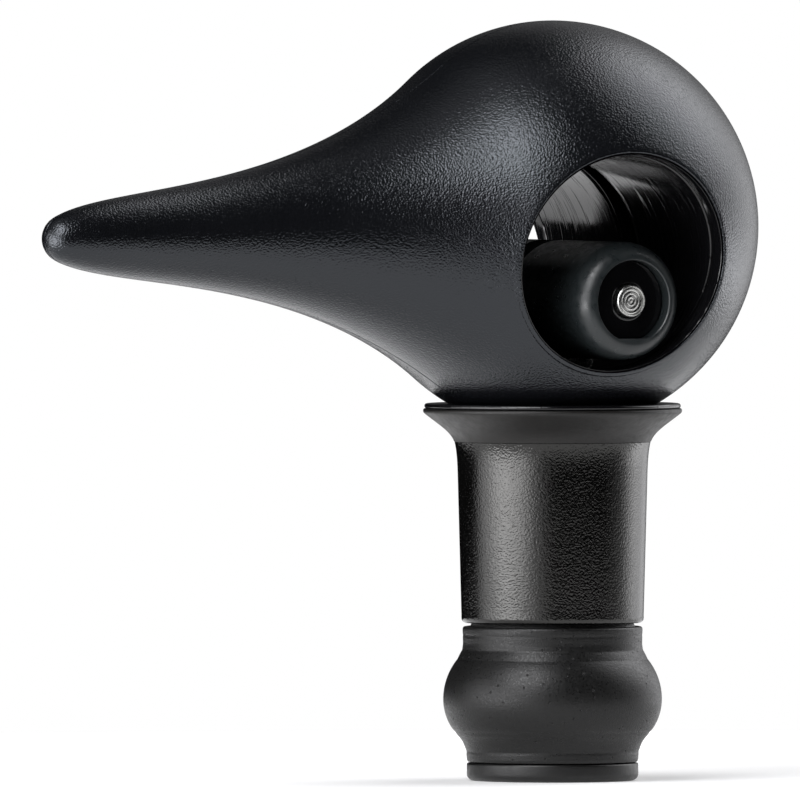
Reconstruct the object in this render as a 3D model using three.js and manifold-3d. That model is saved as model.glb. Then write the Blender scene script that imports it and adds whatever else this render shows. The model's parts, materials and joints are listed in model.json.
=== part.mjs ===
// A lever-operated bottle stopper. The lever is a bird's head: a hollow ball that tapers into a long
// beak, with a round eye right through it. The ball turns in a spherical cup on top of the stem. A cross
// barrel in the eye hangs on a pull rod, so raising the beak lifts the rod and the disc at its foot, and
// the disc squeezes a rubber ring against the stem until the ring bulges and fills the bottle neck.
//
// Millimetres, +Z up the stem, the beak towards -X, the eye along Y. The origin is the centre of the
// pressure disc's underside. "Left" is the -Y side, as seen by someone looking out along the beak.

import * as THREE from "three";
import { mergeVertices } from "three/addons/utils/BufferGeometryUtils.js";
import Module from "manifold-3d";

// ---------------------------------------------------------------- driving dimensions

const GAP = 0.3; // clearance kept between neighbouring pieces

// Heights up the stem.
const DISC_TOP = 1.5;
const HUB_TOP = 4.2;
const RUBBER_TOP = 13.1;
const SLEEVE_TOP = 28.5;
const COLLAR_TIP = 31.3;
const CUP_RIM = 32.05;
const BALL_CENTRE = 47.1;

// Stem radii.
const DISC_RADIUS = 7.3;
const BULGE_RADIUS = 9.3;
const SLEEVE_FOOT_RADIUS = 7.75;
const SLEEVE_BORE = 5.6;
const COLLAR_RADIUS = 11.05;
const CUP_RADIUS = 10.9;

// The head.
const BALL_RADIUS = 17.5;
const BEAK_REACH = 49.7; // from the ball's centre to the tip
const BEAK_START = 10.5; // along the beak, where its curve leaves the ball
const BEAK_TIP_RADIUS = 2.34;
const BEAK_TIP_TAPER = THREE.MathUtils.degToRad(15);
const BEAK_DROOP = THREE.MathUtils.degToRad(0.8);
const SHELL_WALL = 1.8;
const CAVITY_REACH = 30; // the beak is solid beyond this

// The eye and its liner, from the ball's centre.
const EYE_X = -1.5;
const EYE_Z = -2.9;
const EYE_RADIUS = 9.15;
const LINER_WALL = 1.1;
const LINER_SETBACK = 1.2; // each liner stops this far from the middle of the head

// The barrel, its pin and the blade that carries them.
const BARREL_Z = BALL_CENTRE - 6.15;
const BARREL_RADIUS = 5.0;
const BARREL_HALF_LENGTH = 13.6;
const CORE_RADIUS = 3.5;
const CORE_FLAT = 3.2; // from the axis down to the keying flat
const CORE_FACE = 12.5; // the core's face, from the middle
const PIN_RADIUS = 1.36;
const PIN_HALF_LENGTH = 13.25;
const BLADE_THICKNESS = 1.8;
const BLADE_HALF_WIDTH = 3.0;
const ROD_RADIUS = 2.5;
const ROD_TOP = 23.6;

// The slot that lets the blade swing from the bottom of the ball to its back.
const SLOT_WIDTH = 2.6;
const SLOT_START = THREE.MathUtils.degToRad(-14);
const SLOT_END = THREE.MathUtils.degToRad(104);

// Locating dowels, as places from the ball's centre.
const DOWEL_RADIUS = 1.0;
const DOWEL_HALF_LENGTH = 3.0;
const POST_RADIUS = 2.1;
const DOWELS = { dowel_crown: [-5, 12], dowel_throat: [-15.2, -2.5], dowel_beak: [-33.5, -0.4] };

// Facets round each kind of shape.
const HEAD_SEGMENTS = 32;
const STEM_SEGMENTS = 32;
const BARREL_SEGMENTS = 24;
const SMALL_SEGMENTS = 12;

// ---------------------------------------------------------------- materials

const plastic = (color, roughness) => new THREE.MeshStandardMaterial({ color, roughness, metalness: 0 });

const materials = {
  grainedPlastic: plastic(0x17181a, 0.42),
  sleevePlastic: plastic(0x1b1b1a, 0.5),
  glossPlastic: plastic(0x0b0c0e, 0.12),
  satinPlastic: plastic(0x25282b, 0.35),
  collarRubber: plastic(0x2a2826, 0.7),
  expanderRubber: plastic(0x232323, 0.8),
  discPlastic: plastic(0x161616, 0.4),
  innerPlastic: plastic(0x2c2c2c, 0.6),
  steel: new THREE.MeshStandardMaterial({ color: 0xc8c8c6, roughness: 0.25, metalness: 1 }),
};

// ---------------------------------------------------------------- solids

const manifold = await Module();
manifold.setup();

// A closed geometry as a solid that can be joined and cut.
function solid(geometry) {
  const bare = geometry.clone();
  bare.deleteAttribute("normal");
  bare.deleteAttribute("uv");
  const merged = mergeVertices(bare, 1e-4);
  return new manifold.Manifold(
    new manifold.Mesh({
      numProp: 3,
      vertProperties: new Float32Array(merged.attributes.position.array),
      triVerts: new Uint32Array(merged.index.array),
    }),
  );
}

function geometryOf(body) {
  const mesh = body.getMesh();
  const geometry = new THREE.BufferGeometry();
  geometry.setAttribute("position", new THREE.BufferAttribute(mesh.vertProperties, 3));
  geometry.setIndex(new THREE.BufferAttribute(mesh.triVerts, 1));
  geometry.computeVertexNormals();
  return geometry;
}

function part(name, shape, material) {
  const geometry = shape.isBufferGeometry ? shape : geometryOf(shape);
  const mesh = new THREE.Mesh(geometry, material);
  mesh.name = name;
  return mesh;
}

// A profile of (radius, height) points turned round +Z.
const turned = (points, segments) => new THREE.LatheGeometry(points, segments).rotateX(Math.PI / 2);

// A round bar along Y, centred on a place in the XZ plane.
function crossBar(radius, halfLength, x, z, segments) {
  return new THREE.CylinderGeometry(radius, radius, 2 * halfLength, segments).translate(x, 0, z);
}

// A flat outline in the XZ plane, given thickness along Y from a first to a last place.
function plate(shape, firstY, lastY, curveSegments) {
  const options = { depth: lastY - firstY, bevelEnabled: false, curveSegments };
  return new THREE.ExtrudeGeometry(shape, options).rotateX(Math.PI / 2).translate(0, lastY, 0);
}

// Everything on one side of the middle plane, side -1 for left and 1 for right.
function halfSpace(side, setback) {
  const size = 160;
  return new THREE.BoxGeometry(size, size, size).translate(0, side * (size / 2 + setback), 0);
}

// ---------------------------------------------------------------- stem

// Straight grained tube with a floor at its foot.
function sleeve() {
  const foot = RUBBER_TOP + GAP;
  const floorTop = foot + 1.2;
  const profile = new THREE.Path();
  profile.moveTo(ROD_RADIUS + 0.4, foot);
  profile.lineTo(SLEEVE_FOOT_RADIUS - 0.3, foot);
  profile.quadraticCurveTo(SLEEVE_FOOT_RADIUS, foot, SLEEVE_FOOT_RADIUS, foot + 0.35);
  profile.lineTo(SLEEVE_FOOT_RADIUS + 0.32, SLEEVE_TOP - 2.5);
  profile.quadraticCurveTo(SLEEVE_FOOT_RADIUS + 0.36, SLEEVE_TOP - 0.9, SLEEVE_FOOT_RADIUS + 0.57, SLEEVE_TOP);
  profile.lineTo(SLEEVE_BORE, SLEEVE_TOP);
  profile.lineTo(SLEEVE_BORE, floorTop);
  profile.lineTo(ROD_RADIUS + 0.4, floorTop);
  profile.closePath();
  return part("sleeve", turned(profile.getPoints(3), STEM_SEGMENTS), materials.sleevePlastic);
}

// Soft ring that flares from the sleeve out to a thin lip under the cup.
function collarSeal() {
  const foot = SLEEVE_TOP + GAP;
  const profile = new THREE.Path();
  profile.moveTo(SLEEVE_BORE, foot);
  profile.lineTo(8.4, foot);
  profile.bezierCurveTo(8.7, foot + 0.9, 9.8, foot + 1.4, COLLAR_RADIUS - 0.15, COLLAR_TIP - 0.3);
  profile.quadraticCurveTo(COLLAR_RADIUS, COLLAR_TIP - 0.15, COLLAR_RADIUS - 0.05, COLLAR_TIP);
  profile.lineTo(10.7, COLLAR_TIP - 0.02);
  profile.lineTo(9.5, COLLAR_TIP - 0.33);
  profile.lineTo(5.95, COLLAR_TIP - 2.06);
  profile.lineTo(SLEEVE_BORE, COLLAR_TIP - 2.1);
  profile.closePath();
  return part("collar_seal", turned(profile.getPoints(4), STEM_SEGMENTS), materials.collarRubber);
}

// Thin dish with a spherical seat for the ball, and a hollow stem down into the sleeve.
function cupRing() {
  const seatRadius = BALL_RADIUS + GAP;
  const passage = BLADE_HALF_WIDTH + 0.45;
  const stemRadius = SLEEVE_BORE - GAP;
  const rimAngle = Math.asin((BALL_CENTRE - CUP_RIM) / seatRadius);
  const passageAngle = Math.acos(passage / seatRadius);
  const seatBottom = BALL_CENTRE - seatRadius * Math.sin(passageAngle);
  const edge = 0.22;
  const profile = new THREE.Path();
  profile.moveTo(passage, SLEEVE_TOP - 6);
  profile.lineTo(stemRadius, SLEEVE_TOP - 6);
  profile.lineTo(stemRadius, COLLAR_TIP - 2);
  profile.lineTo(9.4, COLLAR_TIP);
  profile.lineTo(CUP_RADIUS - edge, CUP_RIM - 2 * edge);
  profile.absarc(CUP_RADIUS - edge, CUP_RIM - edge, edge, -Math.PI / 2, Math.PI / 2);
  profile.absarc(0, BALL_CENTRE, seatRadius, -rimAngle, -passageAngle, true);
  profile.lineTo(passage, seatBottom);
  profile.closePath();
  return part("cup_ring", turned(profile.getPoints(3), STEM_SEGMENTS), materials.glossPlastic);
}

// A plain ring with square edges, from one height to another.
function ring(inner, outer, low, high, segments) {
  const corners = [
    [inner, low],
    [outer, low],
    [outer, high],
    [inner, high],
    [inner, low],
  ];
  return turned(corners.map(([radius, height]) => new THREE.Vector2(radius, height)), segments);
}

const BUSH_TOP = SLEEVE_TOP - 8.2;

function guideBush() {
  const low = RUBBER_TOP + 1.2 + 2 * GAP;
  const shape = ring(ROD_RADIUS + GAP, SLEEVE_BORE - GAP, low, BUSH_TOP, 24);
  return part("guide_bush", shape, materials.innerPlastic);
}

// O-ring round the rod, between the bush and the cup's stem.
function rodSeal() {
  const thickness = 0.8;
  const torus = new THREE.TorusGeometry(ROD_RADIUS + GAP + thickness, thickness, 8, 24);
  torus.translate(0, 0, BUSH_TOP + GAP + thickness);
  return part("rod_seal", torus, materials.expanderRubber);
}

// Soft ring with one rounded bulge, nearer its foot than its top.
function expanderRubber() {
  const foot = DISC_TOP + GAP;
  const bulge = 6.9;
  const lower = 4.45;
  const upper = 5.4;
  const lowerAngle = THREE.MathUtils.degToRad(46);
  const upperAngle = THREE.MathUtils.degToRad(39);
  const bore = 3.9;
  const neck = ROD_RADIUS + 0.4;
  const profile = new THREE.Path();
  profile.moveTo(bore, foot);
  profile.lineTo(DISC_RADIUS, foot);
  profile.lineTo(DISC_RADIUS, foot + 0.4);
  profile.quadraticCurveTo(
    DISC_RADIUS + 0.02,
    3.1,
    BULGE_RADIUS - lower + lower * Math.cos(lowerAngle),
    bulge - lower * Math.sin(lowerAngle),
  );
  profile.absarc(BULGE_RADIUS - lower, bulge, lower, -lowerAngle, 0);
  profile.absarc(BULGE_RADIUS - upper, bulge, upper, 0, upperAngle);
  profile.quadraticCurveTo(7.62, 10.9, 7.62, 11.7);
  profile.lineTo(7.67, RUBBER_TOP);
  profile.lineTo(neck, RUBBER_TOP);
  profile.lineTo(neck, RUBBER_TOP - 1.6);
  profile.lineTo(bore, RUBBER_TOP - 2.6);
  profile.closePath();
  return part("expander_rubber", turned(profile.getPoints(3), STEM_SEGMENTS), materials.expanderRubber);
}

// ---------------------------------------------------------------- plunger

// Round plate under the rubber, with a hub and a blind socket for the rod's end.
function pressureDisc() {
  const edge = 0.6;
  const hubRadius = 3.6;
  const socketRadius = 2.1;
  const profile = new THREE.Path();
  profile.moveTo(0, 0);
  profile.lineTo(DISC_RADIUS - edge, 0);
  profile.quadraticCurveTo(DISC_RADIUS, 0.05, DISC_RADIUS, edge);
  profile.lineTo(DISC_RADIUS, DISC_TOP - 0.15);
  profile.lineTo(DISC_RADIUS - 0.15, DISC_TOP);
  profile.lineTo(hubRadius, DISC_TOP);
  profile.lineTo(hubRadius, HUB_TOP);
  profile.lineTo(socketRadius, HUB_TOP);
  profile.lineTo(socketRadius, 0.9);
  profile.lineTo(0, 0.9);
  return part("pressure_disc", turned(profile.getPoints(3), STEM_SEGMENTS), materials.discPlastic);
}

// Flat blade with an eye for the pin, and a round rod with a threaded end below it.
function pullRod() {
  const blade = new THREE.Shape();
  blade.moveTo(-BLADE_HALF_WIDTH, ROD_TOP - 1);
  blade.lineTo(BLADE_HALF_WIDTH, ROD_TOP - 1);
  blade.lineTo(BLADE_HALF_WIDTH, BARREL_Z);
  blade.absarc(0, BARREL_Z, BLADE_HALF_WIDTH, 0, Math.PI);
  blade.closePath();
  blade.holes.push(new THREE.Path().absarc(0, BARREL_Z, PIN_RADIUS + GAP, 0, 2 * Math.PI));
  const spigotRadius = 1.8;
  const rod = new THREE.Path();
  rod.moveTo(0, 1.2);
  rod.lineTo(spigotRadius, 1.2);
  rod.lineTo(spigotRadius, HUB_TOP + GAP);
  rod.lineTo(ROD_RADIUS, HUB_TOP + GAP);
  rod.lineTo(ROD_RADIUS, ROD_TOP);
  rod.lineTo(0, ROD_TOP);
  const bladeSolid = solid(plate(blade, -BLADE_THICKNESS / 2, BLADE_THICKNESS / 2, 10));
  const shape = bladeSolid.add(solid(turned(rod.getPoints(1), 24)));
  return part("pull_rod", shape, materials.steel);
}

// The keyed outline of a core: a circle with a flat across its bottom.
function keyedOutline(clearance) {
  const radius = CORE_RADIUS - clearance;
  const flatAngle = Math.asin((CORE_FLAT - clearance) / radius);
  const outline = new THREE.Shape();
  outline.absarc(0, BARREL_Z, radius, -flatAngle, Math.PI + flatAngle);
  outline.closePath();
  return outline;
}

// One half of the barrel, with a rounded outer end and a keyed bore.
function roller(name, side) {
  const inner = LINER_SETBACK;
  const endLength = 2.1;
  const endDrop = 1.5;
  const profile = new THREE.Path();
  profile.moveTo(0, inner);
  profile.lineTo(BARREL_RADIUS, inner);
  profile.lineTo(BARREL_RADIUS, BARREL_HALF_LENGTH - endLength);
  profile.bezierCurveTo(
    BARREL_RADIUS,
    BARREL_HALF_LENGTH - endLength * 0.45,
    BARREL_RADIUS - endDrop * 0.45,
    BARREL_HALF_LENGTH,
    BARREL_RADIUS - endDrop,
    BARREL_HALF_LENGTH,
  );
  profile.lineTo(0, BARREL_HALF_LENGTH);
  const body = new THREE.LatheGeometry(profile.getPoints(5), BARREL_SEGMENTS);
  if (side < 0) body.rotateX(Math.PI);
  body.translate(0, 0, BARREL_Z);
  const bore = plate(keyedOutline(0), -20, 20, 12);
  return part(name, solid(body).subtract(solid(bore)), materials.satinPlastic);
}

// The keyed core that fills a roller's bore and runs on the pin.
function rollerCore(name, side) {
  const outline = keyedOutline(GAP);
  outline.holes.push(new THREE.Path().absarc(0, BARREL_Z, PIN_RADIUS + GAP, 0, 2 * Math.PI));
  const near = side * LINER_SETBACK;
  const far = side * CORE_FACE;
  return part(name, plate(outline, Math.min(near, far), Math.max(near, far), 10), materials.glossPlastic);
}

// Steel pin with chamfered ends.
function crossPin() {
  const chamfer = 0.2;
  const profile = new THREE.Path();
  profile.moveTo(0, -PIN_HALF_LENGTH);
  profile.lineTo(PIN_RADIUS - chamfer, -PIN_HALF_LENGTH);
  profile.lineTo(PIN_RADIUS, chamfer - PIN_HALF_LENGTH);
  profile.lineTo(PIN_RADIUS, PIN_HALF_LENGTH - chamfer);
  profile.lineTo(PIN_RADIUS - chamfer, PIN_HALF_LENGTH);
  profile.lineTo(0, PIN_HALF_LENGTH);
  const pin = new THREE.LatheGeometry(profile.getPoints(1), SMALL_SEGMENTS).translate(0, 0, BARREL_Z);
  return part("cross_pin", pin, materials.steel);
}

// ---------------------------------------------------------------- lever, about the ball's centre

// Lays a profile of (radius, reach) along the drooping beak axis.
function alongBeak(points, segments) {
  return new THREE.LatheGeometry(points, segments).rotateZ(Math.PI / 2).rotateY(-BEAK_DROOP);
}

// Where the beak's curve leaves a ball, and the direction in which it leaves.
function beakRoot(radius) {
  const angle = Math.acos(BEAK_START / BALL_RADIUS);
  return {
    angle,
    start: new THREE.Vector2(radius * Math.sin(angle), radius * Math.cos(angle)),
    heading: new THREE.Vector2(-Math.cos(angle), Math.sin(angle)),
  };
}

// The outside of the head: a ball, a tapering beak and a round tip.
function headOutside() {
  const root = beakRoot(BALL_RADIUS);
  const tipCentre = BEAK_REACH - BEAK_TIP_RADIUS;
  const end = new THREE.Vector2(
    BEAK_TIP_RADIUS * Math.cos(BEAK_TIP_TAPER),
    tipCentre + BEAK_TIP_RADIUS * Math.sin(BEAK_TIP_TAPER),
  );
  const endHeading = new THREE.Vector2(-Math.sin(BEAK_TIP_TAPER), Math.cos(BEAK_TIP_TAPER));
  const firstHandle = root.start.clone().addScaledVector(root.heading, 16.3);
  const lastHandle = end.clone().addScaledVector(endHeading, -8.6);
  const ball = new THREE.Path().absarc(0, 0, BALL_RADIUS, -Math.PI / 2, Math.PI / 2 - root.angle);
  const beak = new THREE.CubicBezierCurve(root.start, firstHandle, lastHandle, end);
  const tip = new THREE.Path().absarc(0, tipCentre, BEAK_TIP_RADIUS, BEAK_TIP_TAPER, Math.PI / 2);
  const points = [...ball.getPoints(9), ...beak.getPoints(12).slice(1), ...tip.getPoints(2).slice(1)];
  return alongBeak(onAxis(points), HEAD_SEGMENTS);
}

// The hollow inside the head, one wall in from the outside.
function headInside() {
  const radius = BALL_RADIUS - SHELL_WALL;
  const root = beakRoot(radius);
  const end = new THREE.Vector2(3.4, CAVITY_REACH);
  const firstHandle = root.start.clone().addScaledVector(root.heading, 10.5);
  const lastHandle = end.clone().add(new THREE.Vector2(1.9, -7));
  const ball = new THREE.Path().absarc(0, 0, radius, -Math.PI / 2, Math.PI / 2 - root.angle);
  const throat = new THREE.CubicBezierCurve(root.start, firstHandle, lastHandle, end);
  const points = [...ball.getPoints(6), ...throat.getPoints(6).slice(1), new THREE.Vector2(0, CAVITY_REACH)];
  return alongBeak(onAxis(points), HEAD_SEGMENTS);
}

// Puts the first and last points of a profile exactly on the axis.
function onAxis(points) {
  points[0].x = 0;
  points[points.length - 1].x = 0;
  return points;
}

// The sector that the blade sweeps through the ball's wall.
function bladeSlot() {
  const inner = BALL_RADIUS - 4;
  const outer = BALL_RADIUS + 2;
  const first = SLOT_START - Math.PI / 2;
  const last = SLOT_END - Math.PI / 2;
  const sector = new THREE.Shape();
  sector.absarc(0, 0, outer, first, last);
  sector.absarc(0, 0, inner, last, first, true);
  sector.closePath();
  return plate(sector, -SLOT_WIDTH / 2, SLOT_WIDTH / 2, 12);
}

function shell(name, side, outside, inside) {
  const reach = BALL_RADIUS + 5;
  let body = outside.subtract(inside);
  for (const [x, z] of Object.values(DOWELS)) {
    const post = solid(crossBar(POST_RADIUS, reach, x, z, SMALL_SEGMENTS));
    body = body.add(post.intersect(outside));
  }
  for (const [x, z] of Object.values(DOWELS)) {
    const hole = crossBar(DOWEL_RADIUS + GAP, DOWEL_HALF_LENGTH + GAP, x, z, SMALL_SEGMENTS);
    body = body.subtract(solid(hole));
  }
  body = body.subtract(solid(crossBar(EYE_RADIUS, reach, EYE_X, EYE_Z, HEAD_SEGMENTS)));
  body = body.subtract(solid(bladeSlot()));
  body = body.intersect(solid(halfSpace(side, GAP / 2)));
  return part(name, body, materials.grainedPlastic);
}

// Smooth tube behind the eye, ending just inside the ball's wall.
function eyeLiner(name, side) {
  const reach = BALL_RADIUS;
  const end = new THREE.SphereGeometry(BALL_RADIUS - SHELL_WALL - GAP, HEAD_SEGMENTS, 16);
  const tube = solid(crossBar(EYE_RADIUS + LINER_WALL, reach, EYE_X, EYE_Z, HEAD_SEGMENTS));
  const bore = solid(crossBar(EYE_RADIUS, reach + 1, EYE_X, EYE_Z, HEAD_SEGMENTS));
  const half = solid(halfSpace(side, LINER_SETBACK));
  const shape = tube.subtract(bore).intersect(solid(end)).intersect(half);
  return part(name, shape, materials.glossPlastic);
}

function dowel(name, x, z) {
  return part(name, crossBar(DOWEL_RADIUS, DOWEL_HALF_LENGTH, x, z, SMALL_SEGMENTS), materials.steel);
}

// ---------------------------------------------------------------- assembly

const SIDES = { left: -1, right: 1 };

const stem = new THREE.Group();
stem.add(sleeve(), collarSeal(), cupRing(), guideBush(), rodSeal(), expanderRubber());

const plunger = new THREE.Group();
plunger.add(pullRod(), crossPin(), pressureDisc());
for (const [word, side] of Object.entries(SIDES)) {
  plunger.add(roller(`roller_${word}`, side), rollerCore(`roller_core_${word}`, side));
}

const lever = new THREE.Group();
lever.position.z = BALL_CENTRE;
const outside = solid(headOutside());
const inside = solid(headInside());
for (const [word, side] of Object.entries(SIDES)) {
  lever.add(shell(`shell_${word}`, side, outside, inside), eyeLiner(`eye_liner_${word}`, side));
}
for (const [name, [x, z]] of Object.entries(DOWELS)) {
  lever.add(dowel(name, x, z));
}

const stopper = new THREE.Group();
stopper.add(stem, plunger, lever);

export default stopper;
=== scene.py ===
"""A black lever bottle stopper with a bird's-head lever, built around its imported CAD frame.

Pieces are made in millimetres in the frame's axes (+Z up the stem, the beak towards -X, the eye along Y)
and turned into metres when their mesh is made. "Left" is the -Y side.
"""

import json
import math

import bpy
import bmesh
import numpy as np
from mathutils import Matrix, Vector


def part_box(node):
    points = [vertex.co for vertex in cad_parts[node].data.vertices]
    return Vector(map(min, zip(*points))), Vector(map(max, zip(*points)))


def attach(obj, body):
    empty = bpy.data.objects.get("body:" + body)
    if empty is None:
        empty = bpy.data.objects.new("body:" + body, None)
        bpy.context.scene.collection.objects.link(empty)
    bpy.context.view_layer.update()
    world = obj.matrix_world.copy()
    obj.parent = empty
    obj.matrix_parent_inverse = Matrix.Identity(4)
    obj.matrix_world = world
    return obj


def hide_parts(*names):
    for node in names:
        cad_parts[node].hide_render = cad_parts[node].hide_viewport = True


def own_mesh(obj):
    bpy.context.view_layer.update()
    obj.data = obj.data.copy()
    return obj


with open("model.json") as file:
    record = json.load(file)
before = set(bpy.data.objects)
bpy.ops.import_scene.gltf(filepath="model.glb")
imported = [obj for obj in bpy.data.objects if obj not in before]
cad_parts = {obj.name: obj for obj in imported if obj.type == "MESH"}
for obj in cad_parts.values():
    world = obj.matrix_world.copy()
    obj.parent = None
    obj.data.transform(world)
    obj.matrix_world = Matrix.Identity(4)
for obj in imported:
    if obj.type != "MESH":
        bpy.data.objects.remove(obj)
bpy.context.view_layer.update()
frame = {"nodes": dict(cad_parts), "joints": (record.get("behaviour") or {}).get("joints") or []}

MM = 0.001
SIDES = {"left": -1, "right": 1}


def low_of(node):
    """Lowest corner of a CAD node's box, in millimetres."""
    return np.array(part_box(node)[0]) / MM


def high_of(node):
    """Highest corner of a CAD node's box, in millimetres."""
    return np.array(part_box(node)[1]) / MM


# ------------------------------------------------------------------ sizes, in millimetres

lever_joint = next(joint for joint in frame["joints"] if joint["name"] == "lever_turn")
BALL_CENTRE = lever_joint["pos_m"][2] / MM
BARREL_HEIGHT = (low_of("cross_pin")[2] + high_of("cross_pin")[2]) / 2

BALL_RADIUS = 17.5
SHELL_WALL = 1.8
INNER_RADIUS = BALL_RADIUS - SHELL_WALL
BEAK_START = 10.5  # reach at which the beak's curve leaves the ball
BEAK_REACH = 49.66
BEAK_TIP_RADIUS = 2.1
BEAK_TIP_TAPER = math.radians(26)
BEAK_ROOT_PULL = 18.6  # how far the beak's curve follows the ball's tangent
BEAK_TIP_PULL = 6.6  # and the tip's
BEAK_DROOP = math.radians(0.8)

EYE_X = -1.5  # the eye's centre, from the ball's
EYE_Z = -2.9
EYE_RADIUS = 9.15
RIM_LIP = 0.16  # thickness of the polished lip round the eye
RIM_FILLET = 0.62  # how far the grained skin rolls into the eye, along the skin
RIM_DEPTH = 0.38  # and how deep it rolls
RIM_BACK = 9.7  # outer radius of the polished ring under the rolled edge
LINER_WALL = 1.1

SEAM = 0.03  # half the gap between the two shells
SLOT_HALF_WIDTH = 1.3
SLOT_START = math.radians(-14)  # the blade's slot, from straight down towards the back
SLOT_END = math.radians(104)

BARREL_RADIUS = 5.0
BARREL_END = 13.6
RECESS_RADIUS = 3.48
RECESS_FLAT = 3.2  # how far below the pin's axis the keyed recess is cut off flat
KEY_DROP = RECESS_FLAT - RECESS_RADIUS
RECESS_FLOOR = 12.5
FLAT_BLEND = 0.04  # rounding between a keyed bore's round and its flat
PIN_RADIUS = 1.36
PIN_END = 13.25

STEM_BORE = 5.6  # inside radius of the sleeve and of the collar
ROD_PASSAGE = 2.9  # inside radius of the holes that the rod passes through
CUP_LIP = 0.42  # thickness of the cup's rim
CUP_LIP_FOOT = high_of("cup_ring")[2] - CUP_LIP
DISC_RADIUS = high_of("pressure_disc")[0]
DISC_TOP = low_of("expander_rubber")[2] - 0.3
TOP_LAND = 0.27  # raised land on the rubber's top, which bears on the sleeve
# Lines round the rubber: height, depth and width.
MOULD_LINES = [(11.1, 0.035, 0.16), (4.12, 0.05, 0.2), (2.5, 0.045, 0.18), (12.35, 0.02, 0.12)]


# ------------------------------------------------------------------ mesh tools


class Skin:
    """Collects points and faces in millimetres, ring by ring, and turns them into an object."""

    def __init__(self):
        self.points = []
        self.faces = []

    def row(self, points):
        """Adds a row of points and returns their numbers."""
        first = len(self.points)
        self.points.extend(tuple(point) for point in points)
        return list(range(first, len(self.points)))

    def join(self, one, other, closed=True):
        """Fills the strip between two rows with the same number of points."""
        count = len(one)
        for i in range(count if closed else count - 1):
            j = (i + 1) % count
            self.faces.append((one[i], one[j], other[j], other[i]))

    def mirrored(self):
        """The same skin on the other side of the middle plane."""
        other = Skin()
        other.points = [(x, -y, z) for x, y, z in self.points]
        other.faces = [tuple(reversed(face)) for face in self.faces]
        return other

    def build(self, name, body, slot, look, sharp=38, replaces=()):
        """Makes the object, lets it ride on a CAD body and gives it its look."""
        mesh = bpy.data.meshes.new(name)
        mesh.from_pydata([Vector(point) * MM for point in self.points], [], self.faces)
        tidy = bmesh.new()
        tidy.from_mesh(mesh)
        bmesh.ops.remove_doubles(tidy, verts=tidy.verts, dist=1e-7)
        bmesh.ops.recalc_face_normals(tidy, faces=tidy.faces)
        tidy.to_mesh(mesh)
        tidy.free()
        mesh.shade_smooth()
        mesh.set_sharp_from_angle(angle=math.radians(sharp))
        mesh.materials.append(look)
        piece = bpy.data.objects.new(name, mesh)
        bpy.context.scene.collection.objects.link(piece)
        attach(piece, body)
        if replaces:
            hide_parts(*replaces)
        return piece


def bezier(a, b, c, d, steps):
    """Points of a cubic curve, its ends included."""
    t = np.linspace(0, 1, steps + 1)[:, None]
    a, b, c, d = (np.array(p, float) for p in (a, b, c, d))
    return (1 - t) ** 3 * a + 3 * (1 - t) ** 2 * t * b + 3 * (1 - t) * t**2 * c + t**3 * d


def arc(centre, radius, first, last, steps):
    """Points of a circular arc, its ends included; angles in degrees."""
    angles = np.radians(np.linspace(first, last, steps + 1))
    return np.stack([centre[0] + radius * np.cos(angles), centre[1] + radius * np.sin(angles)], 1)


def evenly(points, count):
    """The same line as count points, evenly spaced along it."""
    points = np.array(points, float)
    steps = np.linalg.norm(np.diff(points, axis=0), axis=1)
    along = np.concatenate([[0], np.cumsum(steps)])
    wanted = np.linspace(0, along[-1], count)
    return np.stack([np.interp(wanted, along, column) for column in points.T], 1)


def turned(profile, axis="z", segments=160, closed=True, side=1, place=(0.0, 0.0)):
    """Turns a profile round a line along Z or Y through a place in the other two axes.

    The profile's points are (radius, distance along the line) or (radius, distance, flat), where flat is how
    far below the line the round is cut off flat. An open profile starts and ends on the line."""
    angles = np.arange(segments) * 2 * math.pi / segments
    skin = Skin()
    rows = []
    for radius, along, *flat in profile:
        radii = np.full(segments, float(radius))
        if flat:
            limit = flat[0] / np.maximum(-np.sin(angles), 0.05)
            radii = -np.logaddexp(-radii / FLAT_BLEND, -limit / FLAT_BLEND) * FLAT_BLEND
        across, up = radii * np.cos(angles), radii * np.sin(angles)
        if axis == "z":
            points = np.stack([place[0] + across, place[1] + up, np.full(segments, along)], 1)
        else:
            points = np.stack([place[0] + across, np.full(segments, side * along), place[1] + up], 1)
        rows.append(skin.row(points))
    for one, other in zip(rows, rows[1:]):
        skin.join(one, other)
    if closed:
        skin.join(rows[-1], rows[0])
    return skin


# ------------------------------------------------------------------ looks


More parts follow.
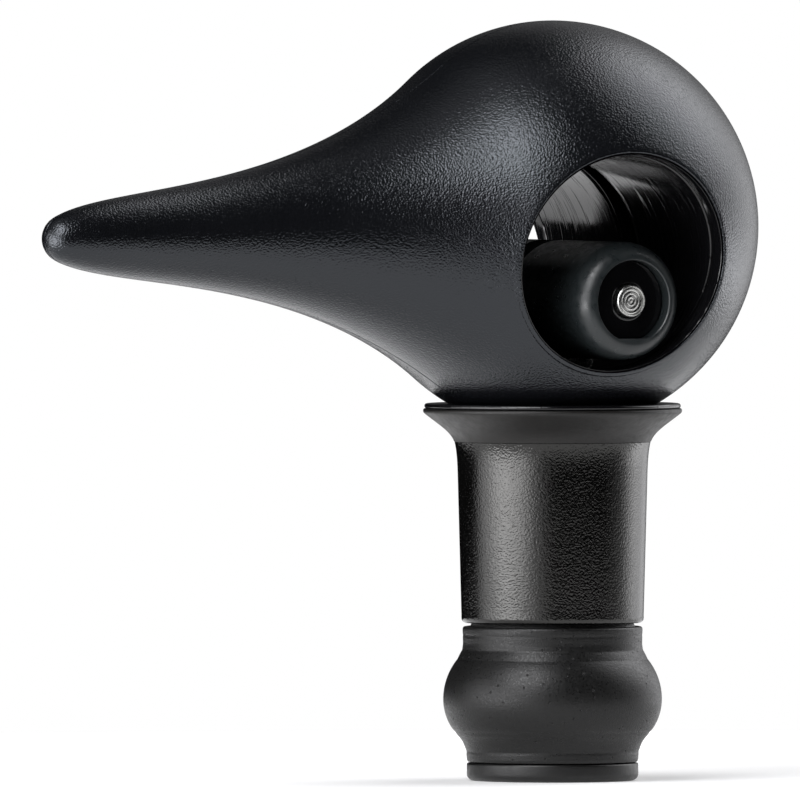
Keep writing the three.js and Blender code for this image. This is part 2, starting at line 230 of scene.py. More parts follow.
class Look:
    """A procedural material, built node by node around one Principled shader.

    Its colour and roughness are plain values, until a call to colour or roughness lets them vary."""

    def __init__(self, name, colour, roughness, metallic=0.0, specular=0.5, tint=(1.0, 1.0, 1.0)):
        self.material = bpy.data.materials.new(name)
        self.material.use_nodes = True
        self.tree = self.material.node_tree
        self.shader = self.tree.nodes["Principled BSDF"]
        self.shader.inputs["Base Color"].default_value = (*colour, 1)
        self.shader.inputs["Roughness"].default_value = roughness
        self.shader.inputs["Metallic"].default_value = metallic
        self.shader.inputs["Specular IOR Level"].default_value = specular
        self.shader.inputs["Specular Tint"].default_value = (*tint, 1)
        self.place = self.node("ShaderNodeTexCoord").outputs["Object"]

    def node(self, kind, **settings):
        """Adds a node; settings with a name in its inputs go there, or are linked there."""
        made = self.tree.nodes.new(kind)
        for key, value in settings.items():
            name = key.replace("_", " ")
            if name in made.inputs:
                if isinstance(value, bpy.types.NodeSocket):
                    self.tree.links.new(value, made.inputs[name])
                else:
                    made.inputs[name].default_value = value
            else:
                setattr(made, key, value)
        return made

    def noise(self, size, detail=2.0, place=None):
        """Noise whose lumps are about size millimetres across."""
        scale = 1 / (size * MM)
        found = self.node("ShaderNodeTexNoise", Vector=place or self.place, Scale=scale, Detail=detail)
        return found.outputs["Fac"]

    def cells(self, size):
        """Distance from the middle of cells about size millimetres across."""
        found = self.node("ShaderNodeTexVoronoi", Vector=self.place, Scale=1 / (size * MM))
        return found.outputs["Distance"]

    def between(self, value, low, high, out_low=0.0, out_high=1.0):
        """Maps low..high to out_low..out_high."""
        made = self.node("ShaderNodeMapRange", Value=value, From_Min=low, From_Max=high)
        made.inputs["To Min"].default_value = out_low
        made.inputs["To Max"].default_value = out_high
        return made.outputs["Result"]

    def combine(self, operation, one, other):
        """One value combined with another by a maths operation."""
        made = self.node("ShaderNodeMath", operation=operation)
        for socket, value in zip(made.inputs, (one, other)):
            if isinstance(value, bpy.types.NodeSocket):
                self.tree.links.new(value, socket)
            else:
                socket.default_value = value
        return made.outputs["Value"]

    def colour(self, amount, first, second):
        """Base colour that goes from first to second with amount."""
        mix = self.node("ShaderNodeMix", data_type="RGBA")
        self.tree.links.new(amount, mix.inputs["Factor"])
        mix.inputs[6].default_value = (*first, 1)
        mix.inputs[7].default_value = (*second, 1)
        self.tree.links.new(mix.outputs[2], self.shader.inputs["Base Color"])

    def roughness(self, value):
        """Roughness that follows a value."""
        self.tree.links.new(value, self.shader.inputs["Roughness"])

    def bump(self, height, depth):
        """Relief: depth is in millimetres for a height of 1. Each call adds to the last."""
        made = self.node("ShaderNodeBump", Height=height, Distance=depth * MM, Strength=1.0)
        found = self.shader.inputs["Normal"].links
        if found:
            self.tree.links.new(found[0].from_socket, made.inputs["Normal"])
        self.tree.links.new(made.outputs["Normal"], self.shader.inputs["Normal"])


def grained_plastic():
    """Spark-eroded mould grain: small soft pebbles on a semi-matt black."""
    look = Look("grained_plastic", (0.0035, 0.0039, 0.005), 0.22, tint=(0.88, 0.93, 1.0))
    look.colour(look.noise(6.0), (0.0032, 0.0035, 0.0043), (0.0048, 0.0052, 0.0062))
    look.roughness(look.between(look.noise(2.5, 3.0), 0.3, 0.7, 0.14, 0.2))
    look.bump(look.noise(2.2, 2.0), 0.005)
    look.bump(look.noise(0.17, 1.0), 0.056)
    return look.material


def sleeve_plastic():
    """The same grain on the sleeve, shallower and a little browner."""
    look = Look("sleeve_plastic", (0.0012, 0.00115, 0.0011), 0.22, tint=(1.0, 0.99, 0.96))
    look.colour(look.noise(4.0), (0.0009, 0.00085, 0.0008), (0.0016, 0.00155, 0.0015))
    look.roughness(look.between(look.noise(1.6, 3.0), 0.3, 0.7, 0.11, 0.16))
    look.bump(look.noise(1.2, 2.0), 0.005)
    look.bump(look.noise(0.18, 1.0), 0.03)
    return look.material


def gloss_plastic():
    """Polished black with the faint marks of a turned mould insert."""
    look = Look("gloss_plastic", (0.003, 0.003, 0.0035), 0.09)
    streaks = look.node("ShaderNodeMapping", Vector=look.place, Scale=(0.25, 6.0, 0.25)).outputs["Vector"]
    marks = look.noise(1.1, 4.0, place=streaks)
    look.roughness(look.between(marks, 0.35, 0.75, 0.05, 0.2))
    look.bump(marks, 0.007)
    look.bump(look.between(look.noise(2.6, 1.0, place=streaks), 0.56, 0.62), 0.014)
    look.bump(look.noise(2.5, 2.0), 0.01)
    return look.material


def satin_plastic():
    """Satin barrel, lightly rubbed."""
    look = Look("satin_plastic", (0.010, 0.0115, 0.012), 0.3)
    look.colour(look.noise(1.4, 4.0), (0.008, 0.0102, 0.011), (0.014, 0.0175, 0.0185))
    look.roughness(look.between(look.noise(0.6, 4.0), 0.35, 0.65, 0.27, 0.46))
    look.bump(look.noise(0.3, 2.0), 0.006)
    return look.material


def collar_rubber():
    """Smooth matt rubber with a dusty bloom."""
    look = Look("collar_rubber", (0.014, 0.013, 0.012), 0.5, specular=0.32)
    look.colour(look.noise(0.8, 5.0), (0.006, 0.0056, 0.0051), (0.010, 0.0093, 0.0086))
    look.roughness(look.between(look.noise(0.6, 3.0), 0.3, 0.7, 0.38, 0.5))
    look.bump(look.noise(0.25, 3.0), 0.008)
    return look.material


def expander_rubber():
    """Matt mottled rubber with small pits."""
    look = Look("expander_rubber", (0.005, 0.005, 0.0048), 0.4, specular=0.34)
    look.colour(look.noise(0.3, 5.0), (0.002, 0.002, 0.002), (0.008, 0.008, 0.0078))
    solid = look.between(look.cells(0.85), 0.06, 0.14)
    mottled = look.between(look.noise(0.16, 4.0), 0.35, 0.65, 0.27, 0.5)
    look.roughness(look.combine("ADD", mottled, look.between(solid, 0.0, 1.0, 0.4, 0.0)))
    flat = look.node("ShaderNodeMapping", Vector=look.place, Scale=(0.12, 0.12, 1.0)).outputs["Vector"]
    look.bump(look.noise(0.16, 3.0, place=flat), 0.012)
    look.bump(solid, 0.05)
    look.bump(look.noise(0.14, 2.0), 0.022)
    return look.material


def disc_plastic():
    """Satin black base plate."""
    look = Look("disc_plastic", (0.004, 0.004, 0.004), 0.34, specular=0.42)
    look.colour(look.noise(1.5, 4.0), (0.003, 0.003, 0.003), (0.006, 0.006, 0.0058))
    look.roughness(look.between(look.noise(0.7, 4.0), 0.3, 0.7, 0.3, 0.46))
    look.bump(look.noise(0.25, 2.0), 0.012)
    return look.material


def inner_plastic():
    """Plain natural grey plastic of the hidden bush."""
    look = Look("inner_plastic", (0.04, 0.04, 0.04), 0.5)
    look.colour(look.noise(1.5, 3.0), (0.034, 0.034, 0.034), (0.048, 0.048, 0.047))
    look.bump(look.noise(0.4, 2.0), 0.008)
    return look.material


def steel(name, centre=None):
    """Bright steel. With a centre it has the concentric marks of a turned face about that line along Y."""
    look = Look(name, (0.5, 0.5, 0.49), 0.26, metallic=1.0)
    look.colour(look.noise(0.5, 4.0), (0.42, 0.42, 0.41), (0.58, 0.58, 0.56))
    look.roughness(look.between(look.noise(0.3, 4.0), 0.3, 0.7, 0.2, 0.36))
    if centre is None:
        look.bump(look.noise(0.2, 3.0), 0.006)
        return look.material
    offset = look.node("ShaderNodeVectorMath", operation="SUBTRACT")
    look.tree.links.new(look.place, offset.inputs[0])
    offset.inputs[1].default_value = Vector(centre) * MM
    flat = look.node("ShaderNodeVectorMath", operation="MULTIPLY")
    look.tree.links.new(offset.outputs["Vector"], flat.inputs[0])
    flat.inputs[1].default_value = (1, 0, 1)
    length = look.node("ShaderNodeVectorMath", operation="LENGTH")
    look.tree.links.new(flat.outputs["Vector"], length.inputs[0])
    ring_spacing, waver = 0.11 * MM, 0.05 * MM
    wander = look.between(look.noise(0.5, 3.0), 0, 1, -waver, waver)
    distance = look.combine("ADD", length.outputs["Value"], wander)
    phase = look.combine("MULTIPLY", distance, 2 * math.pi / ring_spacing)
    look.bump(look.combine("SINE", phase, 0.0), 0.003)
    look.bump(look.noise(0.25, 4.0), 0.012)
    return look.material


# ------------------------------------------------------------------ head outline


def head_outline():
    """The head's outline from the neck of the ball to the tip, as (reach, radius) from the beak's axis."""
    angle = math.acos(BEAK_START / BALL_RADIUS)
    root = BALL_RADIUS * np.array([math.cos(angle), math.sin(angle)])
    heading = np.array([math.sin(angle), -math.cos(angle)])
    tip_centre = BEAK_REACH - BEAK_TIP_RADIUS
    taper = np.array([math.cos(BEAK_TIP_TAPER), -math.sin(BEAK_TIP_TAPER)])
    square = np.array([math.sin(BEAK_TIP_TAPER), math.cos(BEAK_TIP_TAPER)])
    end = np.array([tip_centre, 0]) + BEAK_TIP_RADIUS * square
    curve = bezier(root, root + BEAK_ROOT_PULL * heading, end - BEAK_TIP_PULL * taper, end, 240)
    tip = arc((tip_centre, 0), BEAK_TIP_RADIUS, 90 - math.degrees(BEAK_TIP_TAPER), 0, 40)
    return np.vstack([curve, tip[1:]])


OUTLINE = head_outline()
AHEAD = np.array([-math.cos(BEAK_DROOP), 0, -math.sin(BEAK_DROOP)])
UP = np.array([-math.sin(BEAK_DROOP), 0, math.cos(BEAK_DROOP)])
SIDEWAYS = np.array([0, -1.0, 0])
HEAD_CENTRE = np.array([0, 0, BALL_CENTRE])


def head_radius(reach):
    """Radius of the head about the beak's axis."""
    reach = np.asarray(reach, float)
    ball = np.sqrt(np.maximum(BALL_RADIUS**2 - reach**2, 0))
    beak = np.interp(reach, OUTLINE[:, 0], OUTLINE[:, 1])
    return np.where(reach < BEAK_START, ball, beak)


def head_half_width(reach, height):
    """Distance from the middle plane out to the head's surface."""
    return np.sqrt(np.maximum(head_radius(reach) ** 2 - height**2, 0))


def in_space(reach, height, out):
    """Points of the left half, from the beak's own axes to the frame's."""
    reach, height, out = (np.asarray(value, float)[..., None] for value in (reach, height, out))
    return HEAD_CENTRE + reach * AHEAD + height * UP + out * SIDEWAYS


# The eye's centre along and above the beak's axis.
EYE = np.array([np.dot([EYE_X, 0, EYE_Z], AHEAD), np.dot([EYE_X, 0, EYE_Z], UP)])
JOIN = 17.0  # reach at which the ball's mesh meets the beak's
EDGE_BEVEL = 0.09  # width of the bevel along the shell's outer edge
EDGE_DROP = 0.07  # and its depth
BALL_COLUMNS = 360
BEAK_COLUMNS = 96
BEAK_ROWS = 90
SKIN_ROWS = 48


def edge_setback(point):
    """How far the shell's edge stays from the middle plane: the seam, or the blade's slot with round ends."""
    angle = math.atan2(-point[0], -point[1])  # from straight down towards the back
    start, end = SLOT_START * BALL_RADIUS, SLOT_END * BALL_RADIUS
    along = angle * BALL_RADIUS
    inside = min(along - start, end - along)
    if inside <= 0:
        return SEAM
    lack = max(0.0, SLOT_HALF_WIDTH - inside)
    return max(SEAM, math.sqrt(SLOT_HALF_WIDTH**2 - lack**2))


def side_outline():
    """The ball's outline seen from the side, from the top of the join round the back to its foot."""
    reach = np.linspace(JOIN, BEAK_START, 60)
    neck = np.stack([reach, head_radius(reach)], 1)
    angle = math.degrees(math.acos(BEAK_START / BALL_RADIUS))
    ball = arc((0, 0), BALL_RADIUS, angle, 360 - angle, 400)
    return evenly(np.vstack([neck, ball[1:], (neck * (1, -1))[::-1][1:]]), BALL_COLUMNS + 1)


def inside_outline(point, radius, out):
    """The place beside an outline point where the skin, or the ball's inside, is this far out."""
    if point[0] <= BEAK_START or radius != BALL_RADIUS:
        return point / np.linalg.norm(point) * math.sqrt(radius**2 - out**2)
    limit = float(head_radius(point[0]))
    return np.array([point[0], math.copysign(math.sqrt(limit**2 - out**2), point[1])])


def shell_columns():
    """Each column's outer and inner end, its setback from the middle plane and how far it leans its rows out.

    The columns run from the top of the join over the back of the ball to its foot, then up the join."""
    columns = []
    for point in side_outline():
        setback = edge_setback(point)
        outer = inside_outline(point, BALL_RADIUS, setback + EDGE_BEVEL)
        inner = inside_outline(point, INNER_RADIUS, setback)
        columns.append((outer, inner, setback, 2.0))
    radius = float(head_radius(JOIN))
    first = math.asin((SEAM + EDGE_BEVEL) / radius)
    front = math.atan2(columns[0][1][1], columns[0][1][0])
    for share in np.arange(1, BEAK_COLUMNS) / BEAK_COLUMNS:
        turn = (math.pi - first) - share * (math.pi - 2 * first)
        outer = np.array([JOIN, radius * math.cos(turn)])
        angle = front * (2 * share - 1)
        inner = math.sqrt(INNER_RADIUS**2 - SEAM**2) * np.array([math.cos(angle), math.sin(angle)])
        columns.append((outer, inner, None, 1 + abs(math.cos(turn)) ** 3))
    return columns


def outside_of(column):
    """From the foot of the eye's opening over its edge and the skin to the outer edge."""
    outer, _, _, lean = column
    span = np.linalg.norm(outer - EYE)
    heading = (outer - EYE) / span

    def surface(distance):
        point = EYE + heading * distance
        return float(head_half_width(point[0], point[1]))

    wall = math.sqrt(INNER_RADIUS**2 - np.sum((EYE + heading * RIM_BACK) ** 2))
    corner = surface(EYE_RADIUS)
    edge = EYE_RADIUS + RIM_LIP
    start = edge + RIM_FILLET
    handle = edge + 0.3 * RIM_FILLET
    foot = corner - RIM_DEPTH
    path = [(RIM_BACK, wall), (RIM_BACK, foot - 0.1), (edge + 0.05, foot - 0.08)]
    path += [*bezier((edge + 0.02, foot), (edge, corner - 0.3 * RIM_DEPTH),
                     (handle, surface(handle)), (start, surface(start)), 9)]
    spread = 1 - (1 - np.linspace(0, 1, SKIN_ROWS + 1)[1:]) ** lean
    path += [(distance, surface(distance)) for distance in start + (span - start) * spread]
    return np.array([in_space(*(EYE + heading * distance), out) for distance, out in path])


def inside_of(column):
    """From the inner edge at the middle plane back over the inside to the foot of the eye's wall."""
    outer, inner, setback, _ = column
    heading = (outer - EYE) / np.linalg.norm(outer - EYE)
    foot = EYE + heading * RIM_BACK
    points = [in_space(*inner, SEAM if setback is None else setback)]
    for share in np.linspace(0, 1, 9)[1:-1]:
        point = inner + (foot - inner) * (1 - (1 - share) ** 0.5)
        points.append(in_space(*point, math.sqrt(INNER_RADIUS**2 - np.sum(point**2))))
    return np.array(points)


def edge_of(point, setback, on_ball):
    """The bevel's middle and the seam's edge, for a point on the middle plane's outline."""
    if on_ball:
        along = point / np.linalg.norm(point)
    else:
        along = np.array([0, math.copysign(1, point[1])])
    middle = point - along * 0.3 * EDGE_DROP
    edge = point - along * EDGE_DROP
    return [in_space(*middle, setback + 0.3 * EDGE_BEVEL), in_space(*edge, setback)]


def shell_skin():
    """The left half shell as one closed skin: the ball with its eye and slot, then the solid beak."""
    skin = Skin()
    columns = shell_columns()
    ball = BALL_COLUMNS + 1
    outside = np.array([outside_of(column) for column in columns])
    inside = np.array([inside_of(column) for column in columns])
    outer_rows = [skin.row(outside[:, k]) for k in range(outside.shape[1])]
    inner_rows = [skin.row(inside[:, k]) for k in range(inside.shape[1])]
    for rows in (outer_rows, inner_rows):
        for one, other in zip(rows, rows[1:]):
            skin.join(one, other)
    skin.join(inner_rows[-1], outer_rows[0])
    edges = []
    for column, point in zip(columns[:ball], side_outline()):
        edges.append(edge_of(point, column[2], point[0] <= BEAK_START))
    edges = np.array(edges)
    bevel, seam = skin.row(edges[:, 0]), skin.row(edges[:, 1])
    skin.join(outer_rows[-1][:ball], bevel, closed=False)
    skin.join(bevel, seam, closed=False)
    skin.join(seam, inner_rows[0][:ball], closed=False)
    add_beak(skin, outer_rows[-1], (bevel, seam), inner_rows[0])
    return skin


def beak_reaches():
    """The beak's rows, closer together where its outline bends."""
    ends = OUTLINE[OUTLINE[:, 0] > JOIN]
    ends = ends[ends[:, 1] > 4 * EDGE_BEVEL]
    return evenly(np.vstack([[JOIN, float(head_radius(JOIN))], ends]), BEAK_ROWS)[1:, 0]


def add_beak(skin, join_row, seam_rows, inner_row):
    """Adds the beak: rows from its seam at the bottom, out round its side and back to the seam at the top."""
    ball = BALL_COLUMNS + 1
    bevel, seam = seam_rows
    row = [seam[-1], bevel[-1], *join_row[ball - 1 :], join_row[0], bevel[0], seam[0]]
    bottom, top = [row[0]], [row[-1]]
    for reach in beak_reaches():
        radius = float(head_radius(reach))
        first = math.asin((SEAM + EDGE_BEVEL) / radius)
        turns = np.linspace(math.pi - first, first, BEAK_COLUMNS + 1)
        side = [in_space(reach, radius * math.cos(turn), radius * math.sin(turn)) for turn in turns]
        end = radius * math.cos(first)
        low = edge_of(np.array([reach, -end]), SEAM, False)[::-1]
        high = edge_of(np.array([reach, end]), SEAM, False)
        next_row = skin.row([*low, *side, *high])
        skin.join(row, next_row, closed=False)
        row = next_row
        bottom.append(row[0])
        top.append(row[-1])
    (tip,) = skin.row([in_space(BEAK_REACH, 0, SEAM)])
    for one, other in zip(row, row[1:]):
        skin.faces.append((one, other, tip))
    front = [inner_row[ball - 1], *inner_row[ball:], inner_row[0]]
    skin.faces.append((*bottom, tip, *top[::-1], *front[::-1]))


def make_shells():
    """The two half shells of the head."""
    look = grained_plastic()
    left = shell_skin()
    for word, skin in (("left", left), ("right", left.mirrored())):
        name = f"shell_{word}"
        skin.build(f"head_{name}", "lever", "grained_plastic", look, sharp=42, replaces=[name])


# ------------------------------------------------------------------ eye: polished rim and liners


def rim_skin():
    """The polished ring under the rolled edge of the left eye, down to the liner."""
    skin = Skin()
    columns = []
    for angle in np.linspace(0, 2 * math.pi, 241)[:-1]:
        heading = np.array([math.cos(angle), math.sin(angle)])
        corner = EYE + heading * EYE_RADIUS
        top = float(head_half_width(*corner)) - RIM_DEPTH
        foot = math.sqrt(INNER_RADIUS**2 - np.sum(corner**2))
        back = math.sqrt(INNER_RADIUS**2 - np.sum((EYE + heading * RIM_BACK) ** 2))
        path = [
            (RIM_BACK - 0.03, back),
            (RIM_BACK - 0.03, top - 0.16),
            (EYE_RADIUS + RIM_LIP, top - 0.14),
            (EYE_RADIUS + RIM_LIP - 0.03, top - 0.02),
            (EYE_RADIUS + 0.04, top + 0.01),
            (EYE_RADIUS + 0.01, top - 0.03),
            (EYE_RADIUS, top - 0.1),
            (EYE_RADIUS, foot + 0.2),
            (EYE_RADIUS + 0.05, foot + 0.08),
            (EYE_RADIUS + 0.16, foot),
        ]
        columns.append([in_space(*(EYE + heading * distance), out) for distance, out in path])
    columns = np.array(columns)
    rows = [skin.row(columns[:, k]) for k in range(columns.shape[1])]
    for one, other in zip(rows, rows[1:] + rows[:1]):
        skin.join(one, other)
    return skin


def liner_skin(side):
    """Smooth tube behind the eye. Its outer end lies on the inside of the ball's wall."""
    segments = 200
    setback = low_of("eye_liner_right")[1]
    end_radius = INNER_RADIUS - 0.06
    angles = np.arange(segments) * 2 * math.pi / segments
    around = np.stack([np.cos(angles), np.sin(angles)], 1)
    centre = np.array([EYE_X, EYE_Z])

    def end_out(radius):
        return np.sqrt(end_radius**2 - np.sum((centre + around * radius) ** 2, axis=1))

    outer = EYE_RADIUS + LINER_WALL
    chamfer = 0.12
    profile = [
        (outer, setback),
        (EYE_RADIUS + 0.24, setback),
        (EYE_RADIUS + 0.13, setback + 0.02),
        (EYE_RADIUS + 0.05, setback + 0.07),
        (EYE_RADIUS, setback + chamfer + 0.04),
    ]
    rows = [(radius, np.full(segments, out)) for radius, out in profile]
    for share in np.linspace(0, 1, 30)[1:-1]:
        rows.append((EYE_RADIUS, setback + chamfer + share * (end_out(EYE_RADIUS) - 2 * chamfer - setback)))
    rows.append((EYE_RADIUS, end_out(EYE_RADIUS) - chamfer))
    rows.append((EYE_RADIUS + chamfer, end_out(EYE_RADIUS + chamfer)))
    rows.append((outer, end_out(outer)))
    skin = Skin()
    numbers = []
    for radius, out in rows:
        flat = centre + around * radius
        numbers.append(skin.row(np.stack([flat[:, 0], side * out, BALL_CENTRE + flat[:, 1]], 1)))
    for one, other in zip(numbers, numbers[1:] + numbers[:1]):
        skin.join(one, other)
    return skin


def make_liners(gloss):
    """The polished rim and liner of each eye."""
    rim = rim_skin()
    for word, skin in (("left", rim), ("right", rim.mirrored())):
        skin.build(f"eye_rim_{word}", "lever", "gloss_plastic", gloss, sharp=60)
    for word, side in SIDES.items():
        name = f"eye_liner_{word}"
        liner_skin(side).build(f"tube_{name}", "lever", "gloss_plastic", gloss, replaces=[name])


# ------------------------------------------------------------------ barrel


def roller_profile(inner):
    """Barrel half: keyed bore, flat inner face, round side, rounded outer end."""
    chamfer, lip = 0.15, 0.08
    mouth = RECESS_RADIUS + lip
    end = bezier((BARREL_RADIUS, BARREL_END - 2.1), (BARREL_RADIUS, BARREL_END - 0.9),
                 (BARREL_RADIUS - 0.68, BARREL_END), (BARREL_RADIUS - 1.36, BARREL_END), 16)
    return [
        (RECESS_RADIUS, inner, RECESS_RADIUS + KEY_DROP),
        (BARREL_RADIUS - chamfer, inner),
        (BARREL_RADIUS, inner + chamfer),
        *[(BARREL_RADIUS, out) for out in np.linspace(inner + 0.4, BARREL_END - 2.4, 12)],
        *end,
        (mouth, BARREL_END, mouth + KEY_DROP),
        (RECESS_RADIUS, BARREL_END - lip, RECESS_RADIUS + KEY_DROP),
        (RECESS_RADIUS, RECESS_FLOOR, RECESS_RADIUS + KEY_DROP),
    ]


def core_profile(inner):
    """Keyed core: bore for the pin with a small lip round it, flat face, and a side that fits the bore."""
    radius = RECESS_RADIUS - 0.03
    bore = PIN_RADIUS + 0.05
    return [
        (bore, inner),
        (radius, inner, radius + KEY_DROP),
        (radius, RECESS_FLOOR - 0.1, radius + KEY_DROP),
        (radius - 0.1, RECESS_FLOOR, radius - 0.1 + KEY_DROP),
        (bore + 0.3, RECESS_FLOOR),
        (bore + 0.27, RECESS_FLOOR + 0.09),
        (bore + 0.18, RECESS_FLOOR + 0.12),
        (bore + 0.08, RECESS_FLOOR + 0.08),
        (bore, RECESS_FLOOR - 0.1),
    ]


def pin_profile():
    """Pin with turned ends: a sunk face with ripples, a raised rim and a chamfer."""
    rim = PIN_RADIUS - 0.2
    sunk, ripple = 0.09, 0.022
    face = []
    for share in np.linspace(0, 1, 36):
        face.append((rim * share, PIN_END - sunk + ripple * math.cos(share * 7 * math.pi)))
    half = [
        *face,
        (rim + 0.03, PIN_END - 0.02),
        (rim + 0.07, PIN_END),
        (PIN_RADIUS - 0.07, PIN_END - 0.01),
        (PIN_RADIUS, PIN_END - 0.1),
        (PIN_RADIUS, 6.0),
    ]
    return [(radius, -out) for radius, out in half] + half[::-1]


def make_barrel(gloss):
    """The two barrel halves with their cores, and the pin through them."""
    satin = satin_plastic()
    place = (0.0, BARREL_HEIGHT)
    inner = low_of("roller_right")[1]
    for word, side in SIDES.items():
        roller = turned(roller_profile(inner), "y", 240, side=side, place=place)
        roller.build(f"barrel_{word}", "plunger", "satin_plastic", satin, replaces=[f"roller_{word}"])
        core = turned(core_profile(inner), "y", 240, side=side, place=place)
        core.build(f"core_{word}", "plunger", "gloss_plastic", gloss, replaces=[f"roller_core_{word}"])
    pin = turned(pin_profile(), "y", 96, closed=False, place=place)
    look = steel("pin_steel", centre=(0, 0, BARREL_HEIGHT))
    pin.build("turned_pin", "plunger", "steel", look, sharp=30, replaces=["cross_pin"])


# ------------------------------------------------------------------ stem


def make_sleeve():
    """Slightly tapered tube with a rounded foot, which flares a little where the collar begins."""
    foot, top = low_of("sleeve")[2], low_of("collar_seal")[2]
    radius, taper, rounding, floor = 7.75, 0.32, 0.6, 1.2
    flare = top - 2.7
    foot_edge = bezier((radius - 0.4, foot), (radius - 0.15, foot), (radius, foot + 0.15),
                       (radius + 0.003, foot + 0.45), 8)
    side = []
    for share in np.linspace(0, 1, 14):
        side.append((radius + taper * share, foot + rounding + share * (flare - foot - rounding)))
    shoulder = bezier((radius + taper, flare), (radius + 0.35, top - 1.6), (radius + 0.42, top - 0.7),
                      (radius + 0.58, top - 0.03), 8)
    profile = [
        (ROD_PASSAGE, foot),
        (radius - 0.42, foot),
        *foot_edge,
        *side,
        *shoulder,
        (radius + 0.5, top),
        (STEM_BORE, top),
        (STEM_BORE, foot + floor),
        (ROD_PASSAGE, foot + floor),
    ]
    turned(profile).build("grained_sleeve", "stem", "sleeve_plastic", sleeve_plastic(), replaces=["sleeve"])


def make_collar():
    """Soft ring under the cup's rim: it flares out to a thin lip and is dished inside."""
    foot, tip = low_of("collar_seal")[2], CUP_LIP_FOOT
    radius = high_of("collar_seal")[0]
    flare = bezier((8.38, foot + 0.02), (8.7, foot + 0.9), (9.8, foot + 1.5), (radius - 0.1, tip - 0.42), 24)
    lip = bezier(flare[-1], (radius + 0.04, tip - 0.3), (radius + 0.05, tip - 0.02), (radius - 0.16, tip), 8)
    profile = [
        (STEM_BORE, foot),
        (8.34, foot),
        *flare,
        *lip[1:],
        (10.6, tip - 0.01),
        (9.5, tip - 0.4),
        (5.95, tip - 2.06),
        (STEM_BORE, tip - 2.1),
    ]
    turned(profile).build("flared_collar", "stem", "collar_rubber", collar_rubber(), replaces=["collar_seal"])


def make_cup(gloss):
    """Thin dish under the ball: a bullnosed rim, a spherical seat and a hollow stem."""
    seat = BALL_RADIUS + 0.06
    passage, stem = 3.45, 5.3
    foot, rim_height = low_of("cup_ring")[2], high_of("cup_ring")[2]
    radius = high_of("cup_ring")[0]
    edge = CUP_LIP / 2
    rim_angle = math.degrees(math.asin((BALL_CENTRE - rim_height) / seat))
    passage_angle = math.degrees(math.acos(passage / seat))
    profile = [
        (passage, foot),
        (stem, foot),
        (stem, rim_height - 2.6),
        (9.4, CUP_LIP_FOOT - 0.35),
        *arc((radius - edge, rim_height - edge), edge, -90, 80, 10),
        *arc((0, BALL_CENTRE), seat, -rim_angle, -passage_angle, 30),
    ]
    turned(profile).build("seat_cup", "stem", "gloss_plastic", gloss, replaces=["cup_ring"])


def rubber_line(foot, top):
    """Outside of the rubber ring, from its foot to its top, with its mould lines."""
    bulge_height, bulge_radius = 6.9, 9.3
    lower, upper = 4.45, 5.4  # radii of the bulge's curve below and above its widest place
    down = arc((bulge_radius - lower, bulge_height), lower, -46, 0, 20)
    up = arc((bulge_radius - upper, bulge_height), upper, 0, 39, 20)
    skirt = bezier((DISC_RADIUS, foot + 0.3), (DISC_RADIUS + 0.02, foot + 0.8),
                   (DISC_RADIUS + 0.1, 3.1), down[0], 10)
    crown = bezier(up[-1], (7.9, 10.75), (7.62, 11.1), (7.62, 11.7), 10)
    edge = bezier((7.65, top - 0.35), (7.67, top - 0.12), (7.6, top), (7.4, top), 6)
    line = evenly(np.vstack([skirt[:-1], down, up[1:], crown[1:], edge]), 230)
    for height, depth, width in MOULD_LINES:
        line[:, 0] -= depth * np.exp(-(((line[:, 1] - height) / width) ** 2))
    return line


def make_rubber():
    """The soft ring, which narrows towards its top."""
    foot, top = DISC_TOP + 0.03, high_of("expander_rubber")[2]
    bore, land = 3.9, 7.0
    line = rubber_line(foot, top)
    profile = [
        (ROD_PASSAGE, top - 1.6),
        (bore, top - 2.6),
        *[(bore, height) for height in np.linspace(top - 3.2, foot + 0.2, 8)],
        (bore + 0.1, foot),
        (line[0][0] - 0.3, foot),
        (line[0][0] - 0.08, foot + 0.08),
        *line,
        (land, top),
        (land - 0.1, top + TOP_LAND),
        (ROD_PASSAGE, top + TOP_LAND),
    ]
    piece = turned(profile, segments=180).build(
        "bulged_rubber", "stem", "expander_rubber", expander_rubber(), replaces=["expander_rubber"])
    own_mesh(piece)


def make_disc():
    """Round plate under the rubber, with a sunk middle below and a hub with a blind socket above."""
    top, hub_top = DISC_TOP, high_of("pressure_disc")[2]
    radius = DISC_RADIUS
    sunk, hub, socket, socket_floor = 0.22, 3.6, 2.1, 0.9
    foot_edge = bezier((radius - 0.62, 0), (radius - 0.2, 0.0), (radius, 0.25), (radius, 0.62), 10)
    top_edge = bezier((radius, top - 0.2), (radius, top - 0.06), (radius - 0.06, top), (radius - 0.2, top), 5)
    profile = [
        (0, sunk),
        (3.0, sunk),
        (3.1, 0.12),
        (3.16, 0.0),
        *foot_edge,
        *top_edge,
        (hub, top),
        (hub, hub_top),
        (socket, hub_top),
        (socket, socket_floor),
        (0, socket_floor),
    ]
    disc = turned(profile, closed=False)
    disc.build("foot_disc", "plunger", "disc_plastic", disc_plastic(), replaces=["pressure_disc"])


